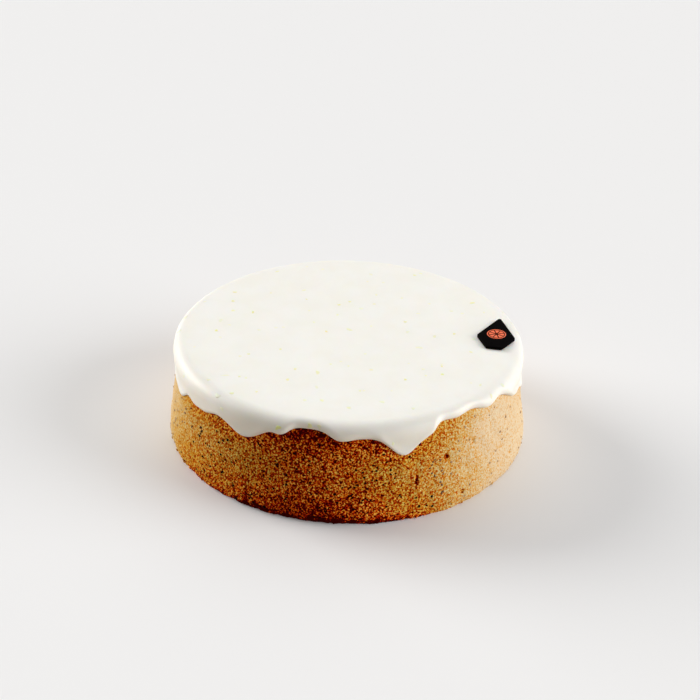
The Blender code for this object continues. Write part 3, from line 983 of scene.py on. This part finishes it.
def browning(angles, heights, points, below_icing):
    """How brown the crust is, darker at the foot, with painted shade on the front and under the
    icing and painted light at right.
    """
    level = browning_and_shade_by_angle(angles)
    foot = np.clip(1.0 - heights / FOOT_BROWNING_HEIGHT, 0.0, 1.0)
    waist = bell(heights - WAIST_HEIGHT, WAIST_DEPTH)
    angle_level = np.clip(level, 0.0, 1.0)
    level += angle_level * (AWAY_BROWNING + WAIST_BROWNING * waist + FOOT_BROWNING * foot * angle_level)
    # Painted shade just under the icing's edge.
    edge = SHADE_UNDER_ICING_LEAST + SHADE_UNDER_ICING * np.clip(level, 0.0, 1.0) ** 2
    level += edge * bell(below_icing, SHADE_UNDER_ICING_DISTANCE)
    # Near-black patches along the foot.
    foot_dark = FOOT_DARK_AT_BASE * bell(heights, FOOT_DARK_HEIGHT) - FOOT_DARK_THRESHOLD
    foot_dark = np.clip(foot_dark + FOOT_DARK_PATCHINESS * noise_at(points, FOOT_DARK_NOISE), 0.0, 1.0)
    foot_dark *= np.clip((level - FOOT_DARK_FROM) / (FOOT_DARK_FULL - FOOT_DARK_FROM), 0.0, 1.0)
    level += FOOT_DARK_LEVEL * foot_dark
    return level + CLOUD_BROWNING * noise_at(points, CLOUD_NOISE)


def solid_seed_places():
    """The solid's seeds: spread evenly by a two-way golden sequence, then jittered."""
    draw = random.Random(SEED_RANDOM)
    places = []
    index = 0
    while len(places) < SOLID_SEED_COUNT:
        index += 1
        angle = TURN * (index * SEED_SPREAD_ROUND % 1.0)
        height = SPONGE_HEIGHT * (index * SEED_SPREAD_UP % 1.0)
        angle += draw.uniform(-SEED_JITTER, SEED_JITTER) / SPONGE_RADIUS
        height += draw.uniform(-SEED_JITTER, SEED_JITTER)
        ceiling = lowest_edge_nearby(angle) - SEED_CLEARANCE
        spin = draw.uniform(0.0, math.pi)
        size = draw.uniform(1.0 - SEED_SIZE_SPREAD, 1.0 + SEED_SIZE_SPREAD)
        if SEED_FLOOR < height < ceiling:
            places.append((angle, height, spin, size))
    return places


def small_seed_places():
    """Smaller seeds between them, alone and in twos and threes."""
    draw = random.Random(SMALL_SEED_RANDOM)
    small = SMALL_SEED_RADIUS / SEED_RADIUS
    places = []
    for _ in range(SMALL_SEED_GROUPS):
        angle = draw.uniform(0.0, TURN)
        height = draw.uniform(*SMALL_SEED_HEIGHTS)
        if draw.random() > FEWEST_SEEDS + browning_and_shade_by_angle(angle):
            continue
        if pit_depths(np.array([angle]), np.array([height]))[0][0] > MOST_PIT_UNDER_SEED:
            continue
        for _ in range(draw.choice(SMALL_SEED_GROUP_SIZES)):
            near_angle = angle + draw.gauss(0.0, SMALL_SEED_GROUP_SPREAD) / SPONGE_RADIUS
            near_height = height + draw.gauss(0.0, SMALL_SEED_GROUP_SPREAD)
            ceiling = lowest_edge_nearby(near_angle) - SMALL_SEED_RADIUS
            if SMALL_SEED_FLOOR < near_height < ceiling:
                size = small * draw.uniform(*SMALL_SEED_SIZES)
                places.append((near_angle, near_height, draw.uniform(0.0, math.pi), size))
    return places


def side_spot(sponge, angle, height):
    """Where the sponge's side is at an angle and a height, and the way in from there."""
    inward = Vector((-math.sin(angle), math.cos(angle), 0.0))
    outside = Vector((0.0, 0.0, height)) - inward * SPONGE_RADIUS * 2.0
    spot, _ = cast(sponge, outside, inward)
    return spot, inward


def crust_level_at(angles, heights, points):
    """How brown the crust is, with its painted light and shade, at places taken as far below the
    icing.
    """
    return browning(angles, heights, points, np.full(len(angles), FAR_BELOW_ICING))


def make_seeds(sponge):
    """The poppy seeds, set a little into the crust, each with its own dusting of crumb."""
    half_sizes = (SEED_RADIUS * SEED_LENGTH_RATIO, SEED_RADIUS, SEED_RADIUS * SEED_HEIGHT_RATIO)
    shape = grain_shape("seed", half_sizes, bend=SEED_BEND, lumps=SEED_LUMPS)
    placements = []
    seeds = solid_seed_places() + small_seed_places()
    for angle, height, spin, size in seeds:
        spot, inward = side_spot(sponge, angle, height)
        turn = lying_on(-inward, spin) @ Matrix.Scale(size, 4)
        placements.append(Matrix.Translation(spot + inward * SEED_SUNK) @ turn)
    mesh = joined_mesh("poppy_seeds", shape, placements)
    angles = np.array([seed[0] for seed in seeds])
    heights = np.array([seed[1] for seed in seeds])
    crust_level = crust_level_at(angles, heights, ring_points(angles, SPONGE_RADIUS, heights))
    draw = np.random.default_rng(SEED_RANDOM)
    dust = np.clip(SEED_DUST - SEED_DUST_LOST * crust_level, 0.0, 1.0)
    dust *= draw.uniform(*SEED_DUST_RANGE, len(seeds))
    set_values(mesh, "dust", np.repeat(dust, len(shape.vertices)))
    add_object("poppy_seeds", mesh, seed_material())


def make_crumbs(sponge, finish):
    """Torn crumbs that cling to the foot of the side."""
    draw = random.Random(CRUMB_RANDOM)
    half_sizes = (CRUMB_RADIUS, CRUMB_RADIUS * CRUMB_WIDTH_RATIO, CRUMB_RADIUS * CRUMB_HEIGHT_RATIO)
    shape = grain_shape("grain", half_sizes, lumps=CRUMB_LUMPS, lump_length=CRUMB_LUMP_LENGTH)
    placements = []
    spots = []
    for _ in range(CRUMB_COUNT):
        angle = draw.uniform(0.0, TURN)
        height = abs(draw.gauss(0.0, CRUMB_REACH)) + CRUMB_LOWEST
        size = draw.uniform(*CRUMB_SIZES)
        height = max(height, CRUMB_CLEARANCE * size)
        spot, inward = side_spot(sponge, angle, height)
        turn = lying_on(-inward, draw.uniform(0.0, math.pi)) @ Matrix.Scale(size, 4)
        placements.append(Matrix.Translation(spot) @ turn)
        spots.append((angle, height, *spot))
    mesh = joined_mesh("foot_crumbs", shape, placements)
    spots = np.array(spots)
    crust_level = crust_level_at(spots[:, 0], spots[:, 1], spots[:, 2:])
    set_values(mesh, "hollow", np.zeros(len(mesh.vertices)))
    set_values(mesh, "browning", np.repeat(crust_level, len(shape.vertices)))
    set_values(mesh, "coarseness", np.ones(len(mesh.vertices)))
    add_object("foot_crumbs", mesh, finish)


# --- The icing and its zest ---


def icing_section(angle):
    """Points from the flat top, round the rim, down a drip to its edge and back up inside."""
    edge_run = icing_run(angle)
    rim_run = min(ARC_LENGTH, RIM_SHARE * edge_run)
    outside = [FLAT_RADIUS * (ring / ICING_TOP_RINGS - 1.0) for ring in range(1, ICING_TOP_RINGS)]
    outside += list(np.linspace(0.0, rim_run, ICING_RIM_RINGS))
    for ring in range(1, ICING_TONGUE_RINGS + 1):
        share = math.sin(QUARTER * ring / ICING_TONGUE_RINGS)
        outside.append(rim_run + (edge_run - rim_run) * share)
    lining = np.linspace(edge_run - ICING_LINING_INSET, 0.0, ICING_LINING_RINGS)
    points = [icing_outside(angle, run, edge_run) for run in outside]
    points[-1] = surface_point(angle, edge_run - ICING_EDGE_INSET, GAP)
    points += [surface_point(angle, run, ICING_SEAT) for run in lining]
    return points


def make_icing():
    """The icing's fine skin, from its flat top to its drips, closed underneath."""
    turns = [TURN * column / ICING_COLUMNS for column in range(ICING_COLUMNS)]
    columns = [icing_section(angle) for angle in turns]
    crown = (0.0, 0.0, SPONGE_HEIGHT + GAP + ICING_TOP)
    lining = (0.0, 0.0, SPONGE_HEIGHT + ICING_SEAT)
    mesh = loft_round("icing_glaze", columns, crown, lining)
    made = add_object("icing_glaze", mesh, icing_material())
    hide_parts("icing")
    return made


def zest_spot(icing, draw, angle, on_top):
    """A chance place on the icing's top or side, and the surface's normal there."""
    if on_top:
        reach = (FLAT_RADIUS + ICING_TOP * ZEST_RIM_SHARE) * math.sqrt(draw.random())
        start = Vector((reach * math.sin(angle), -reach * math.cos(angle), CAST_HEIGHT))
        return cast(icing, start, Vector((0.0, 0.0, -1.0)))
    last_run = max(ZEST_LEAST_LAST, icing_run(angle) - ZEST_OFF_EDGE)
    run = draw.uniform(ZEST_FIRST_RUN, last_run)
    aim = surface_point(angle, run, 0.0)
    outward = (surface_point(angle, run, 1.0) - aim).normalized()
    return cast(icing, aim + outward * CAST_DISTANCE, -outward)


def make_zest(icing):
    """Thin curled flecks that lie almost flush in the icing."""
    draw = random.Random(ZEST_RANDOM)
    half_sizes = (ZEST_HALF_LENGTH, ZEST_HALF_WIDTH, ZEST_HALF_THICKNESS)
    shape = grain_shape("fleck", half_sizes, bend=ZEST_BEND)
    placements = []
    for number in range(ZEST_TOP_COUNT + ZEST_SIDE_COUNT):
        angle = draw.uniform(0.0, TURN)
        spot, normal = zest_spot(icing, draw, angle, number < ZEST_TOP_COUNT)
        length = ZEST_LENGTH * draw.lognormvariate(0.0, ZEST_LENGTH_SPREAD)
        width = draw.uniform(*ZEST_WIDTHS)
        size = Matrix.Diagonal((min(ZEST_LONGEST, length), width, 1.0, 1.0))
        sunk = Matrix.Translation(spot + normal * (ZEST_PROUD - ZEST_HALF_THICKNESS))
        placements.append(sunk @ lying_on(normal, draw.uniform(0.0, TURN)) @ size)
    mesh = joined_mesh("lemon_zest", shape, placements)
    add_object("lemon_zest", mesh, zest_material())


# --- The plaque ---


def round_corners(corners, radius, points_each):
    """The outline through the corners, each one cut back and rounded by a smooth arc."""
    outline = []
    for index, corner in enumerate(corners):
        before = (corners[index - 1] - corner).normalized()
        after = (corners[(index + 1) % len(corners)] - corner).normalized()
        half_angle = before.angle(after) / 2.0
        centre = corner + (before + after).normalized() * (radius / math.sin(half_angle))
        start = corner + before * (radius / math.tan(half_angle)) - centre
        turn = math.copysign(math.pi - 2.0 * half_angle, -before.cross(after).z)
        for step in range(points_each + 1):
            spun = Matrix.Rotation(turn * step / points_each, 3, "Z") @ start
            outline.append(centre + spun)
    return outline


def flat_solid(name, outlines, thickness, bevel, place):
    """A flat solid from closed outlines, with softly rounded edges, as a mesh at its place."""
    curve = bpy.data.curves.new(name + "_outline", "CURVE")
    curve.dimensions = "2D"
    curve.fill_mode = "BOTH"
    curve.extrude = thickness / 2.0 - bevel
    curve.bevel_depth = bevel
    curve.bevel_resolution = BEVEL_STEPS
    curve.offset = -bevel
    for outline in outlines:
        spline = curve.splines.new("POLY")
        spline.points.add(len(outline) - 1)
        spline.use_cyclic_u = True
        for point, spot in zip(spline.points, outline):
            point.co = (spot.x, spot.y, 0.0, 1.0)
    flat = bpy.data.objects.new(name + "_outline", curve)
    bpy.context.scene.collection.objects.link(flat)
    bpy.context.view_layer.update()
    evaluated = flat.evaluated_get(bpy.context.evaluated_depsgraph_get())
    mesh = bpy.data.meshes.new_from_object(evaluated)
    mesh.name = name
    bpy.data.objects.remove(flat, do_unlink=True)
    shape = bmesh.new()
    shape.from_mesh(mesh)
    bmesh.ops.remove_doubles(shape, verts=shape.verts, dist=MERGE_DISTANCE)
    bmesh.ops.recalc_face_normals(shape, faces=shape.faces)
    shape.to_mesh(mesh)
    shape.free()
    mesh.transform(place)
    mesh.shade_smooth()
    mesh.set_sharp_from_angle(angle=math.radians(SHARP_ANGLE))
    return mesh


def plaque_placement(level):
    """The plaque's place and turn on the icing, at a height."""
    turn = Matrix.Rotation(math.radians(PLAQUE_TURN), 4, "Z")
    return Matrix.Translation((*PLAQUE_PLACE, level)) @ turn


def make_plaque():
    """The plaque itself, down to the icing that it lies on."""
    corners = [
        Vector((0.0, PLAQUE_POINT, 0.0)),
        Vector((-PLAQUE_HALF_WIDTH, 0.0, 0.0)),
        Vector((-PLAQUE_FOOT_HALF_WIDTH, -PLAQUE_FOOT, 0.0)),
        Vector((PLAQUE_FOOT_HALF_WIDTH, -PLAQUE_FOOT, 0.0)),
        Vector((PLAQUE_HALF_WIDTH, 0.0, 0.0)),
    ]
    outline = round_corners(corners, PLAQUE_CORNER, CORNER_POINTS)
    _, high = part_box("plaque")
    bottom = SPONGE_HEIGHT + GAP + ICING_TOP
    place = plaque_placement((bottom + high.z) / 2.0)
    mesh = flat_solid("plaque_body", [outline], high.z - bottom, PLAQUE_BEVEL, place)
    made = add_object("plaque_body", mesh, plaque_material())
    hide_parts("plaque")


def ring_outline(radius, points, clockwise=False):
    """Points round a circle."""
    full = -TURN if clockwise else TURN
    turns = [full * step / points for step in range(points)]
    return [Vector((radius * math.cos(turn), radius * math.sin(turn), 0.0)) for turn in turns]


def make_wheel():
    """A citrus wheel in coral on the plaque: a rind and eight segments."""
    outlines = [
        ring_outline(WHEEL_RADIUS, WHEEL_RIM_POINTS),
        ring_outline(WHEEL_RADIUS - WHEEL_LINE, WHEEL_RIM_POINTS, clockwise=True),
    ]
    half = math.pi / WHEEL_SEGMENTS
    tip_radius = WHEEL_SEGMENT_GAP / math.sin(half)
    spare = math.asin(WHEEL_SEGMENT_GAP / WHEEL_SEGMENT_RADIUS)
    for segment in range(WHEEL_SEGMENTS):
        middle = 2.0 * half * segment
        outline = [Vector((math.cos(middle), math.sin(middle), 0.0)) * tip_radius]
        for step in range(WHEEL_SEGMENT_STEPS + 1):
            angle = middle + (half - spare) * (2.0 * step / WHEEL_SEGMENT_STEPS - 1.0)
            outline.append(Vector((math.cos(angle), math.sin(angle), 0.0)) * WHEEL_SEGMENT_RADIUS)
        outlines.append(outline)
    _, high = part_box("plaque")
    place = plaque_placement(high.z) @ Matrix.Translation((0.0, WHEEL_PLACE, 0.0))
    mesh = flat_solid("citrus_wheel", outlines, WHEEL_THICKNESS, WHEEL_BEVEL, place)
    add_object("citrus_wheel", mesh, wheel_material())


# --- The stage ---


def toward(angle, elevation):
    """The direction of a compass angle counted from the front, and an elevation, in degrees."""
    a, e = math.radians(angle), math.radians(elevation)
    return Vector((math.sin(a) * math.cos(e), -math.cos(a) * math.cos(e), math.sin(e)))


def make_camera():
    """The camera, at the photograph's viewing angle."""
    data = bpy.data.cameras.new("camera")
    data.lens = CAMERA_LENS
    data.clip_start, data.clip_end = CAMERA_CLIP
    made = bpy.data.objects.new("camera", data)
    bpy.context.scene.collection.objects.link(made)
    made.location = toward(0.0, CAMERA_ELEVATION) * CAMERA_DISTANCE
    look = (Vector(CAMERA_AIM) - made.location).to_track_quat("-Z", "Y")
    roll = Matrix.Rotation(math.radians(CAMERA_ROLL), 3, "Z")
    made.rotation_euler = (look.to_matrix() @ roll).to_euler()
    bpy.context.scene.camera = made


def make_lights():
    """The soft suns and the pale sky."""
    for sun in SUNS:
        data = bpy.data.lights.new(sun.name, "SUN")
        data.energy = sun.strength
        data.angle = math.radians(sun.softness)
        data.color = sun.colour
        made = bpy.data.objects.new(sun.name, data)
        bpy.context.scene.collection.objects.link(made)
        made.rotation_euler = toward(sun.angle, sun.elevation).to_track_quat("Z", "Y").to_euler()
    world = bpy.data.worlds.new("sky")
    world.use_nodes = True
    sky = world.node_tree.nodes["Background"]
    sky.inputs["Color"].default_value = (*SKY_COLOUR, 1.0)
    sky.inputs["Strength"].default_value = SKY_STRENGTH
    bpy.context.scene.world = world


def make_floor():
    """A plain pale floor just under the cake."""
    half = FLOOR_SIZE / 2.0
    mesh = bpy.data.meshes.new("floor")
    corners = [(-half, -half, 0.0), (half, -half, 0.0), (half, half, 0.0), (-half, half, 0.0)]
    mesh.from_pydata(corners, [], [(0, 1, 2, 3)])
    mesh.materials.append(floor_material())
    made = bpy.data.objects.new("floor", mesh)
    made.location.z = -FLOOR_DROP
    bpy.context.scene.collection.objects.link(made)


def main():
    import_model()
    bpy.context.scene.view_settings.view_transform = "Standard"
    make_camera()
    make_lights()
    make_floor()
    sponge = make_sponge()
    make_seeds(sponge)
    make_crumbs(sponge, sponge.data.materials[0])
    icing = make_icing()
    make_zest(icing)
    make_plaque()
    make_wheel()


main()
